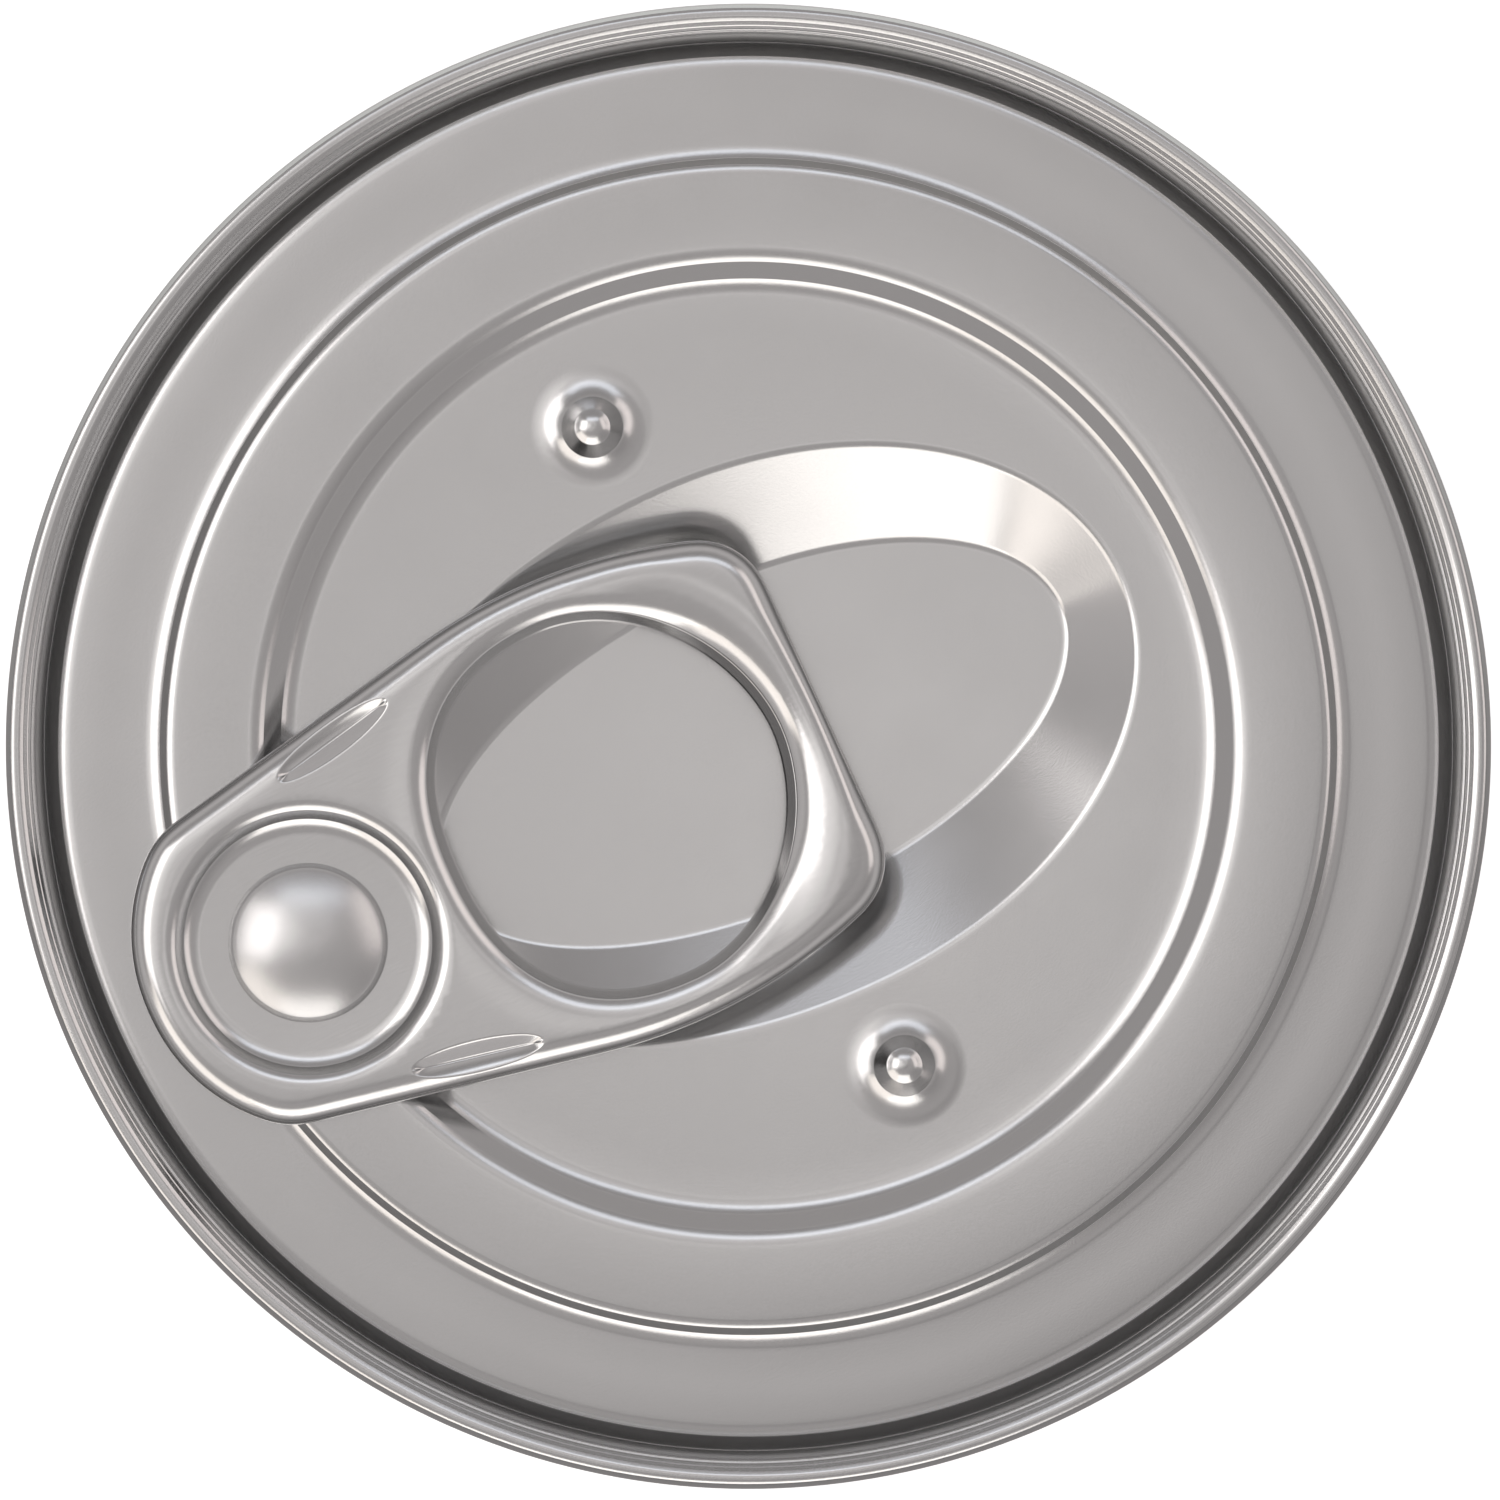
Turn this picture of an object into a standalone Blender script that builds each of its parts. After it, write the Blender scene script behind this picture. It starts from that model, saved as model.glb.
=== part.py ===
"""A shut ring-pull food can in bare tinplate: body, two seamed ends and the pull tab.

Metres, +Z up. The origin is on the can's axis, level with the lowest edge of the bottom seam.
+X points along the tab, from its rivet towards its ring, so the tab and the finger well are
symmetric about the XZ plane, apart from the small side play of the rivet.
"""
import math

import bmesh
import bpy

MM = 0.001

# Whole can
CAN_HEIGHT = 110.0 * MM
BODY_RADIUS = 36.7 * MM
PIECE_GAP = 0.3 * MM

# Double seam, the same at both ends
SEAM_RADIUS = 38.1 * MM
SEAM_INNER_RADIUS = 37.08 * MM
SEAM_HEIGHT = 3.0 * MM
SEAM_ROUNDING = 0.4 * MM

# Countersink groove between the seam's inner wall and the panel
CHUCK_FOOT_RADIUS = 36.33 * MM
CHUCK_KNEE_RADIUS = 36.45 * MM
CHUCK_KNEE_DEPTH = 2.75 * MM
PANEL_EDGE_RADIUS = 35.15 * MM
PANEL_FOOT_RADIUS = 36.05 * MM
COUNTERSINK_DEPTH = 5.05 * MM

# Levels of the top end, below the seam's crest
OUTER_PANEL_DEPTH = 3.4 * MM
PLATEAU_DEPTH = 3.05 * MM
INNER_PANEL_DEPTH = 3.65 * MM
TOP_END_DEPTH = 5.7 * MM

# Circular steps of the top panel: radius at the step's inner and outer foot
INNER_STEP = (24.08 * MM, 24.97 * MM)
OUTER_STEP = (30.02 * MM, 30.36 * MM)

# Finger well pressed into the inner panel, longer towards the ring than towards the rivet
WELL_DEPTH = 1.5 * MM
WELL_CENTRE_X = 1.0 * MM
WELL_MOUTH = {"right": 19.75 * MM, "left": 20.8 * MM, "half_width": 13.65 * MM, "left_power": 2.15}
WELL_FLOOR = {"right": 16.8 * MM, "left": 18.5 * MM, "half_width": 8.5 * MM, "left_power": 2.0}

# Two small nubs beside the well
NUB_DISTANCE = 18.25 * MM
NUB_ANGLE = math.radians(91.3)
NUB_HEIGHT = 0.75 * MM
NUB_RADIUS = 2.4 * MM

# Rivet, drawn up out of the end's own sheet
RIVET_X = -24.75 * MM
TAB_SIDE_PLAY = 0.3 * MM
RIVET_PAD_RADIUS = 4.2 * MM
RIVET_SHANK_RADIUS = 2.0 * MM
RIVET_HEAD_RADIUS = 3.97 * MM
RIVET_HEAD_HEIGHT = 1.0 * MM
RIVET_EDGE_HEIGHT = 0.3 * MM

# Pull tab: corners of the outline's upper half as (x, y, rounding), from the nose to the ring end
TAB_CORNERS = (
    (-33.70 * MM, 4.27 * MM, 9.8 * MM),
    (-29.75 * MM, 8.21 * MM, 3.9 * MM),
    (-5.87 * MM, 12.98 * MM, 29.0 * MM),
    (4.30 * MM, 9.72 * MM, 3.7 * MM),
)
TAB_THICKNESS = 1.4 * MM
TAB_CURL_RADIUS = 0.62 * MM
TAB_CLEARANCE = 0.35 * MM
RING_HOLE_CENTRE_X = -7.36 * MM
RING_HOLE = {"right": 8.77 * MM, "left": 8.77 * MM, "half_width": 9.49 * MM,
             "right_power": 1.86, "left_power": 2.3}
ISLAND_RADIUS = 6.28 * MM
ISLAND_RIM_RADIUS = 7.1 * MM
ISLAND_DEPTH = 0.5 * MM
STIFFENER_CENTRE = (-19.26 * MM, 8.92 * MM)
STIFFENER_HALF_SIZE = (3.6 * MM, 0.82 * MM, 0.45 * MM)
STIFFENER_RAISE = 0.1 * MM
STIFFENER_TURN = math.radians(11.7)

# Bottom end, levels above the table
BOTTOM_PANEL_HEIGHT = 3.5 * MM
BOTTOM_RING_STEPS = (14.0 * MM, 22.0 * MM, 29.0 * MM)
BOTTOM_RING_RISE = 0.5 * MM

# Rolled beads that stiffen the body
BEAD_COUNT = 7
BEAD_PITCH = 6.0 * MM
BEAD_WIDTH = 3.4 * MM
BEAD_DEPTH = 0.6 * MM

# Facets around each turned piece
TOP_SEGMENTS = 72
BODY_SEGMENTS = 48
SMALL_SEGMENTS = 32
OUTLINE_SEGMENTS = 56

MERGE_DISTANCE = 0.00001

# Levels that follow from the sizes above
OUTER_PANEL_Z = CAN_HEIGHT - OUTER_PANEL_DEPTH
PLATEAU_Z = CAN_HEIGHT - PLATEAU_DEPTH
INNER_PANEL_Z = CAN_HEIGHT - INNER_PANEL_DEPTH
TOP_END_UNDERSIDE_Z = CAN_HEIGHT - TOP_END_DEPTH
RIVET_PAD_Z = PLATEAU_Z + 0.05 * MM
TAB_UNDERSIDE_Z = RIVET_PAD_Z + TAB_CLEARANCE
TAB_TOP_Z = TAB_UNDERSIDE_Z + TAB_THICKNESS
ISLAND_Z = TAB_TOP_Z - ISLAND_DEPTH


def clear_scene():
    """Remove every object that the file opened with."""
    for thing in list(bpy.data.objects):
        bpy.data.objects.remove(thing, do_unlink=True)


def new_collection(name):
    """Add a collection to the scene."""
    group = bpy.data.collections.new(name)
    bpy.context.scene.collection.children.link(group)
    return group


def metal(name, colour, roughness):
    """A metal finish as a Principled BSDF."""
    finish = bpy.data.materials.new(name)
    finish.use_nodes = True
    shader = finish.node_tree.nodes["Principled BSDF"]
    shader.inputs["Base Color"].default_value = (*colour, 1.0)
    shader.inputs["Roughness"].default_value = roughness
    shader.inputs["Metallic"].default_value = 1.0
    return finish


def rounded_path(corners, arc_steps, closed=False):
    """Points along a path whose corners (a, b, radius) are rounded by arcs of their own radius."""
    points = []
    count = len(corners)
    for index, (a, b, radius) in enumerate(corners):
        is_end = not closed and index in (0, count - 1)
        if is_end or radius == 0.0:
            points.append((a, b))
            continue
        before = corners[index - 1]
        after = corners[(index + 1) % count]
        in_angle = math.atan2(b - before[1], a - before[0])
        out_angle = math.atan2(after[1] - b, after[0] - a)
        turn = (out_angle - in_angle + math.pi) % (2.0 * math.pi) - math.pi
        reach = radius * math.tan(abs(turn) / 2.0)
        side = math.copysign(1.0, turn)
        centre_a = a - reach * math.cos(in_angle) - side * radius * math.sin(in_angle)
        centre_b = b - reach * math.sin(in_angle) + side * radius * math.cos(in_angle)
        for step in range(arc_steps + 1):
            angle = in_angle + turn * step / arc_steps
            points.append((centre_a + side * radius * math.sin(angle),
                           centre_b - side * radius * math.cos(angle)))
    return points


def oval(centre_x, centre_y, size, segments):
    """A closed oval whose left and right halves may differ in length and fullness."""
    points = []
    for step in range(segments):
        angle = 2.0 * math.pi * step / segments
        side = "right" if math.cos(angle) >= 0.0 else "left"
        power = 2.0 / size.get(side + "_power", 2.0)
        along = math.copysign(abs(math.cos(angle)) ** power, math.cos(angle))
        across = math.copysign(abs(math.sin(angle)) ** power, math.sin(angle))
        points.append((centre_x + size[side] * along, centre_y + size["half_width"] * across))
    return points


def add_object(name, mesh, group, finish=None):
    """Put a mesh in the scene as a smooth-shaded object."""
    thing = bpy.data.objects.new(name, mesh)
    group.objects.link(thing)
    if finish is not None:
        mesh.materials.append(finish)
    mesh.shade_smooth()
    mesh.set_sharp_from_angle(angle=math.radians(35.0))
    return thing


def turned(name, path, segments, group, finish=None):
    """A solid of revolution: the path (radius, height) runs from the axis at the top, down the
    outer side, to the axis at the bottom."""
    outline = bmesh.new()
    corners = [outline.verts.new((radius, 0.0, height)) for radius, height in path]
    for first, second in zip(corners, corners[1:]):
        outline.edges.new((first, second))
    mesh = bpy.data.meshes.new(name)
    outline.to_mesh(mesh)
    outline.free()
    thing = add_object(name, mesh, group, finish)
    screw = thing.modifiers.new("Turn", "SCREW")
    screw.axis = "Z"
    screw.angle = 2.0 * math.pi
    screw.steps = segments
    screw.render_steps = segments
    screw.use_merge_vertices = True
    screw.merge_threshold = MERGE_DISTANCE
    screw.use_smooth_shade = True
    return thing


def stacked_outlines(name, layers, group):
    """A solid lofted through closed outlines, each given as (points, height), lowest first."""
    solid = bmesh.new()
    rings = []
    for points, height in layers:
        ring = [solid.verts.new((x, y, height)) for x, y in points]
        rings.append([solid.edges.new((ring[i - 1], ring[i])) for i in range(len(ring))])
    for lower, upper in zip(rings, rings[1:]):
        bmesh.ops.bridge_loops(solid, edges=lower + upper)
    bmesh.ops.contextual_create(solid, geom=rings[0])
    bmesh.ops.contextual_create(solid, geom=rings[-1])
    bmesh.ops.recalc_face_normals(solid, faces=solid.faces[:])
    mesh = bpy.data.meshes.new(name)
    solid.to_mesh(mesh)
    solid.free()
    return add_object(name, mesh, group)


def as_cutter(thing):
    """Show a helper solid as wire and keep it out of the finished model."""
    thing.hide_render = True
    thing.display_type = "WIRE"
    return thing


def combine(target, helper, operation):
    """Cut a helper out of a solid, or join it on, with an exact Boolean."""
    step = target.modifiers.new(helper.name, "BOOLEAN")
    step.operation = operation
    step.solver = "EXACT"
    step.object = helper


def rounded_plate(name, loops, underside_z, thickness, edge_radius, group, finish):
    """A flat plate cut to closed outlines, with its edges rounded top and bottom."""
    curve = bpy.data.curves.new(name + "_outline", "CURVE")
    curve.dimensions = "2D"
    curve.fill_mode = "BOTH"
    for points in loops:
        spline = curve.splines.new("POLY")
        spline.points.add(len(points) - 1)
        for corner, (x, y) in zip(spline.points, points):
            corner.co = (x, y, 0.0, 1.0)
        spline.use_cyclic_u = True
    curve.extrude = thickness / 2.0 - edge_radius
    curve.bevel_depth = edge_radius
    curve.bevel_resolution = 1
    curve.offset = -edge_radius
    guide = bpy.data.objects.new(name + "_outline", curve)
    guide.location = (0.0, 0.0, underside_z + thickness / 2.0)
    group.objects.link(guide)
    bpy.context.view_layer.update()
    evaluated = guide.evaluated_get(bpy.context.evaluated_depsgraph_get())
    mesh = bpy.data.meshes.new_from_object(evaluated)
    welded = bmesh.new()
    welded.from_mesh(mesh)
    bmesh.ops.remove_doubles(welded, verts=welded.verts[:], dist=MERGE_DISTANCE)
    bmesh.ops.recalc_face_normals(welded, faces=welded.faces[:])
    welded.to_mesh(mesh)
    welded.free()
    mesh.materials.clear()
    plate = add_object(name, mesh, group, finish)
    plate.matrix_world = guide.matrix_world.copy()
    bpy.data.objects.remove(guide, do_unlink=True)
    return plate


def seam_and_countersink(crest, inward):
    """Corners of an end from its panel's foot over the seam to the body wall.

    crest is the height of the seam's outermost edge; inward is -1 for the top end, where the can
    lies below that edge, and +1 for the bottom end.
    """
    groove = crest + inward * COUNTERSINK_DEPTH
    lip = crest + inward * SEAM_HEIGHT
    return [
        (PANEL_FOOT_RADIUS, groove, 0.0),
        (CHUCK_FOOT_RADIUS, groove, 0.0),
        (CHUCK_KNEE_RADIUS, crest + inward * CHUCK_KNEE_DEPTH, 0.0),
        (SEAM_INNER_RADIUS, crest, SEAM_ROUNDING),
        (SEAM_RADIUS, crest, SEAM_ROUNDING),
        (SEAM_RADIUS, lip, 0.35 * MM),
        (BODY_RADIUS, lip - inward * 0.1 * MM, 0.0),
    ]


def make_top_end(parts, helpers, finish):
    """Top end: seam, countersink, stepped panel, finger well, nubs and the rivet drawn from it."""
    corners = [(0.0, INNER_PANEL_Z, 0.0),
               (INNER_STEP[0], INNER_PANEL_Z, 0.35 * MM),
               (INNER_STEP[1], PLATEAU_Z, 0.35 * MM),
               (OUTER_STEP[0], PLATEAU_Z, 0.3 * MM),
               (OUTER_STEP[1], OUTER_PANEL_Z, 0.3 * MM),
               (PANEL_EDGE_RADIUS, OUTER_PANEL_Z, 0.5 * MM)]
    corners += seam_and_countersink(CAN_HEIGHT, -1.0)
    corners += [(BODY_RADIUS, TOP_END_UNDERSIDE_Z, 0.0),
                (0.0, TOP_END_UNDERSIDE_Z, 0.0)]
    end = turned("top_end", rounded_path(corners, 2), TOP_SEGMENTS, parts, finish)

    mouth = oval(WELL_CENTRE_X, 0.0, WELL_MOUTH, OUTLINE_SEGMENTS)
    floor = oval(WELL_CENTRE_X, 0.0, WELL_FLOOR, OUTLINE_SEGMENTS)
    well = stacked_outlines("finger_well",
                            [(floor, INNER_PANEL_Z - WELL_DEPTH),
                             (mouth, INNER_PANEL_Z),
                             (mouth, CAN_HEIGHT)], helpers)
    combine(end, as_cutter(well), "DIFFERENCE")

    for index, turn in enumerate((0.0, math.pi)):
        nub = make_nub("nub_%d" % (index + 1), helpers)
        angle = NUB_ANGLE + turn
        nub.location = (NUB_DISTANCE * math.cos(angle), NUB_DISTANCE * math.sin(angle),
                        INNER_PANEL_Z)
        combine(end, as_cutter(nub), "UNION")

    rivet = make_rivet("rivet", helpers)
    rivet.location = (RIVET_X, TAB_SIDE_PLAY, 0.0)
    combine(end, as_cutter(rivet), "UNION")
    return end


def make_nub(name, helpers):
    """A round bump with a flared foot, standing on the panel."""
    root = -0.4 * MM
    path = [(0.0, NUB_HEIGHT),
            (0.25 * NUB_RADIUS, 0.93 * NUB_HEIGHT),
            (0.48 * NUB_RADIUS, 0.62 * NUB_HEIGHT),
            (0.70 * NUB_RADIUS, 0.24 * NUB_HEIGHT),
            (NUB_RADIUS, 0.05 * NUB_HEIGHT),
            (NUB_RADIUS, root),
            (0.0, root)]
    return turned(name, path, 24, helpers)


def make_rivet(name, helpers):
    """The rivet: a pad on the panel, a shank through the tab and a low domed head over it."""
    head_underside = ISLAND_Z + PIECE_GAP
    dome_foot = head_underside + RIVET_EDGE_HEIGHT
    rise = RIVET_HEAD_HEIGHT - RIVET_EDGE_HEIGHT
    cap_radius = (RIVET_HEAD_RADIUS ** 2 + rise ** 2) / (2.0 * rise)
    half_angle = math.asin(RIVET_HEAD_RADIUS / cap_radius)
    dome_steps = 6
    path = []
    for step in range(dome_steps + 1):
        angle = half_angle * step / dome_steps
        path.append((cap_radius * math.sin(angle),
                     dome_foot + rise - cap_radius * (1.0 - math.cos(angle))))
    path += [(RIVET_HEAD_RADIUS, head_underside),
             (RIVET_SHANK_RADIUS, head_underside),
             (RIVET_SHANK_RADIUS, RIVET_PAD_Z),
             (RIVET_PAD_RADIUS, RIVET_PAD_Z),
             (RIVET_PAD_RADIUS + 0.5 * MM, INNER_PANEL_Z - 0.2 * MM),
             (0.0, INNER_PANEL_Z - 0.2 * MM)]
    return turned(name, path, SMALL_SEGMENTS, helpers)


def make_bottom_end(parts, finish):
    """Bottom end: the seam the can stands on, countersink and a panel with stepped rings."""
    top_face = TOP_END_DEPTH
    corners = [(0.0, top_face, 0.0), (BODY_RADIUS, top_face, 0.0)]
    seam = seam_and_countersink(0.0, 1.0)
    corners += reversed(seam)
    corners.append((PANEL_EDGE_RADIUS, BOTTOM_PANEL_HEIGHT, 0.5 * MM))
    height = BOTTOM_PANEL_HEIGHT
    for index, radius in enumerate(reversed(BOTTOM_RING_STEPS)):
        next_height = BOTTOM_PANEL_HEIGHT + (BOTTOM_RING_RISE if index % 2 == 0 else 0.0)
        corners.append((radius + 0.4 * MM, height, 0.0))
        corners.append((radius - 0.4 * MM, next_height, 0.0))
        height = next_height
    corners.append((0.0, height, 0.0))
    return turned("bottom_end", rounded_path(corners, 2), BODY_SEGMENTS, parts, finish)


def make_body(parts, finish):
    """Body: the filled, shut can between its two ends, with rolled beads round its middle."""
    top = TOP_END_UNDERSIDE_Z - PIECE_GAP
    bottom = TOP_END_DEPTH + PIECE_GAP
    path = [(0.0, top), (BODY_RADIUS, top)]
    middle = CAN_HEIGHT / 2.0
    highest = middle + BEAD_PITCH * (BEAD_COUNT - 1) / 2.0
    for index in range(BEAD_COUNT):
        centre = highest - index * BEAD_PITCH
        path += [(BODY_RADIUS, centre + BEAD_WIDTH / 2.0),
                 (BODY_RADIUS - BEAD_DEPTH, centre + BEAD_WIDTH / 6.0),
                 (BODY_RADIUS - BEAD_DEPTH, centre - BEAD_WIDTH / 6.0),
                 (BODY_RADIUS, centre - BEAD_WIDTH / 2.0)]
    path += [(BODY_RADIUS, bottom), (0.0, bottom)]
    return turned("can_body", path, BODY_SEGMENTS, parts, finish)


def make_pull_tab(parts, helpers, finish):
    """Pull tab: a plate with rolled edges, a ring hole, a sunk island round the rivet and two
    pressed stiffening grooves."""
    upper = [(x, y + TAB_SIDE_PLAY, radius) for x, y, radius in TAB_CORNERS]
    lower = [(x, TAB_SIDE_PLAY - y, radius) for x, y, radius in reversed(TAB_CORNERS)]
    outline = rounded_path(upper + lower, 9, closed=True)
    hole = oval(RING_HOLE_CENTRE_X, TAB_SIDE_PLAY, RING_HOLE, OUTLINE_SEGMENTS)
    tab = rounded_plate("pull_tab", [outline, hole], TAB_UNDERSIDE_Z, TAB_THICKNESS,
                        TAB_CURL_RADIUS, parts, finish)

    above = 0.5 * MM
    slope = (ISLAND_RIM_RADIUS - ISLAND_RADIUS) / ISLAND_DEPTH
    island = turned("island", [(0.0, TAB_TOP_Z + above),
                               (ISLAND_RIM_RADIUS + slope * above, TAB_TOP_Z + above),
                               (ISLAND_RADIUS, ISLAND_Z),
                               (0.0, ISLAND_Z)], 48, helpers)
    island.location = (RIVET_X, TAB_SIDE_PLAY, 0.0)
    combine(tab, as_cutter(island), "DIFFERENCE")

    shank_hole_radius = RIVET_SHANK_RADIUS + PIECE_GAP
    shank_hole = turned("shank_hole", [(0.0, ISLAND_Z + above),
                                       (shank_hole_radius, ISLAND_Z + above),
                                       (shank_hole_radius, TAB_UNDERSIDE_Z - above),
                                       (0.0, TAB_UNDERSIDE_Z - above)], SMALL_SEGMENTS, helpers)
    shank_hole.location = (RIVET_X, TAB_SIDE_PLAY, 0.0)
    combine(tab, as_cutter(shank_hole), "DIFFERENCE")

    for name, side in (("stiffener_left", 1.0), ("stiffener_right", -1.0)):
        groove = make_stiffener(name, side, helpers)
        combine(tab, as_cutter(groove), "DIFFERENCE")
    return tab


def make_stiffener(name, side, helpers):
    """Cutter for one almond-shaped groove that runs along the tab's edge."""
    solid = bmesh.new()
    bmesh.ops.create_uvsphere(solid, u_segments=24, v_segments=12, radius=1.0)
    bmesh.ops.scale(solid, vec=STIFFENER_HALF_SIZE, verts=solid.verts[:])
    mesh = bpy.data.meshes.new(name)
    solid.to_mesh(mesh)
    solid.free()
    groove = add_object(name, mesh, helpers)
    groove.location = (STIFFENER_CENTRE[0], TAB_SIDE_PLAY + side * STIFFENER_CENTRE[1],
                       TAB_TOP_Z + STIFFENER_RAISE)
    groove.rotation_euler = (0.0, 0.0, side * STIFFENER_TURN)
    return groove


def main():
    """Build the can."""
    clear_scene()
    parts = new_collection("ring_pull_can")
    helpers = new_collection("cutters")
    tinplate = metal("tinplate", (0.62, 0.61, 0.60), 0.3)
    end_plate = metal("end_plate", (0.66, 0.65, 0.645), 0.25)
    tab_plate = metal("tab_plate", (0.70, 0.69, 0.685), 0.22)
    make_body(parts, tinplate)
    make_bottom_end(parts, end_plate)
    make_top_end(parts, helpers, end_plate)
    make_pull_tab(parts, helpers, tab_plate)


main()
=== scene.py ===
"""Looks of a shut ring-pull food can in bare tinplate.

The file is laid out as a Blender add-on and run as a script. Each operator makes one piece of
the can, or the studio round it. Lengths are metres, +Z is up, the origin is on the can's axis
at table level, and +X runs along the pull tab from its rivet towards its ring.
"""

import math

import bmesh
import bpy
import numpy as np
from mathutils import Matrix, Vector
from mathutils.geometry import delaunay_2d_cdt
from mathutils.kdtree import KDTree


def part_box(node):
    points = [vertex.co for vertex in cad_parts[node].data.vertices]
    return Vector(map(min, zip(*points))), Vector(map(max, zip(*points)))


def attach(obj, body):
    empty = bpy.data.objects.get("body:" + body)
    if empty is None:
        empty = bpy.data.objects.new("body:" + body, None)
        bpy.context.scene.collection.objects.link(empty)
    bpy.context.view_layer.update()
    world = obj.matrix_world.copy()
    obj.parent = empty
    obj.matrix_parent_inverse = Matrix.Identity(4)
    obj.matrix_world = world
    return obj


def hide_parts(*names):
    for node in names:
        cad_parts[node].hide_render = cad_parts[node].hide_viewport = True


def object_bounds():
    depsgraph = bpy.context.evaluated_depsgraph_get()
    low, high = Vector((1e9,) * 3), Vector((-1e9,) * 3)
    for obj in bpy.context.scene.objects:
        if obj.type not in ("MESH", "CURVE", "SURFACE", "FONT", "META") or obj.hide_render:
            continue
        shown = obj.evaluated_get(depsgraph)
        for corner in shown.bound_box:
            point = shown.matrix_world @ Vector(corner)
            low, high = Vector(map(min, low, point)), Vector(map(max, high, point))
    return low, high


bl_info = {
    "name": "Ring-pull food can",
    "version": (1, 0, 0),
    "blender": (4, 5, 0),
    "location": "3D View > Sidebar > Food can",
    "description": "Makes a shut ring-pull food can piece by piece, and a plain studio for it",
    "category": "Add Mesh",
}

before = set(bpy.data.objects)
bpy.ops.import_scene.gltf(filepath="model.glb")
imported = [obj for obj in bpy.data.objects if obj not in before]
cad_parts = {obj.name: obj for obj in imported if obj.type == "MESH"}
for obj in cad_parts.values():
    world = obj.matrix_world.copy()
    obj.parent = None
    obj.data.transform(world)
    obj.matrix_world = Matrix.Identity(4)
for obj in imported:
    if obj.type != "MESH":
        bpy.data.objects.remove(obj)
CAD_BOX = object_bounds()

MM = 0.001
CAN_TOP = CAD_BOX[1].z
RIM_RADIUS = CAD_BOX[1].x
BODY_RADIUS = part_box("can_body")[1].x
TAB_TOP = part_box("pull_tab")[1].z
TAB_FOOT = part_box("pull_tab")[0].z

MERGE_DISTANCE = 0.001 * MM
FULL_TURN = 2.0 * math.pi
RIM_SEGMENTS = 288
SMALL_SEGMENTS = 96
ISLAND_SEGMENTS = 192
EDGE_SEGMENTS = 400
HOLE_SEGMENTS = 240
BEAD_STEPS = 14

RIVET_X = -24.75 * MM
SIDE_PLAY = 0.3 * MM

# A bend or a sweep is how far it reaches from a step, and how far the sheet drops over that.
NO_SWEEP = (1.0, 0.0)
BEAD_SWEEP = (2.4 * MM, 0.023 * MM)
EDGE_SWEEP = (2.4 * MM, 0.030 * MM)
SPREAD_GAP = 0.09 * MM


# ---------------------------------------------------------------- settings


def hex_colour(text):
    """Linear colour of an sRGB hex value, as shader sockets take it."""
    channels = [int(text[start:start + 2], 16) / 255.0 for start in (1, 3, 5)]
    return tuple(c / 12.92 if c <= 0.04045 else ((c + 0.055) / 1.055) ** 2.4 for c in channels)


def length(name, description, default):
    """A length property in metres."""
    return bpy.props.FloatProperty(name=name, description=description, default=default,
                                   unit="LENGTH", subtype="DISTANCE", precision=5)


def colour(name, description, text):
    """A colour property whose default is an sRGB hex value."""
    return bpy.props.FloatVectorProperty(name=name, description=description, subtype="COLOR",
                                         size=3, min=0.0, max=1.0, default=hex_colour(text))


class CanSizes(bpy.types.PropertyGroup):
    """Sizes of the two ends and the body."""
    plateau_depth: length("Plateau depth", "Crest of the seam down to the raised ring", 3.0 * MM)
    outer_depth: length("Outer panel depth", "Crest down to the panel's outer ring", 3.55 * MM)
    inner_depth: length("Inner panel depth", "Crest down to the panel round the well", 3.9 * MM)
    well_depth: length("Finger well depth", "Inner panel down to the floor of the well", 1.7 * MM)
    nub_height: length("Nub height", "Height of each nub over the inner panel", 1.25 * MM)
    seam_height: length("Seam height", "Height of each double seam", 3.0 * MM)
    bead_depth: length("Bead depth", "Depth of each rolled bead of the body", 0.6 * MM)
    bead_pitch: length("Bead pitch", "Distance from one body bead to the next", 6.0 * MM)
    bead_count: bpy.props.IntProperty(name="Beads", description="Number of body beads",
                                      default=7, min=0, max=12)


class TabSizes(bpy.types.PropertyGroup):
    """Sizes of the pull tab and its rivet."""
    roll_width: length("Roll width", "How far the rounding of the tab's edge reaches in",
                       1.25 * MM)
    crown: bpy.props.FloatProperty(name="Crown", description="Slope of the ring's outer side",
                                   subtype="FACTOR", default=0.05, min=0.0, max=0.3)
    island_depth: length("Island depth", "How far the ring round the rivet is sunk", 0.74 * MM)
    groove_depth: length("Stiffener depth", "Depth of the two stiffening grooves", 0.42 * MM)
    rivet_rise: length("Rivet dome rise", "Height of the rivet's dome over its edge", 0.66 * MM)


class Finishes(bpy.types.PropertyGroup):
    """Colours of the metals and of the studio."""
    end_metal: colour("End", "Tinplate of the two ends", "#DADADA")
    body_metal: colour("Body", "Tinplate of the body", "#E4E6E8")
    tab_metal: colour("Tab", "Steel of the pull tab", "#DBDBDB")
    floor: colour("Floor", "Matt table top", "#F8F8F8")


class CanSettings(bpy.types.PropertyGroup):
    """Everything that a user of the can would change."""
    can: bpy.props.PointerProperty(name="Can", type=CanSizes)
    tab: bpy.props.PointerProperty(name="Tab", type=TabSizes)
    finish: bpy.props.PointerProperty(name="Finishes", type=Finishes)


# ---------------------------------------------------------------- outlines


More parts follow.
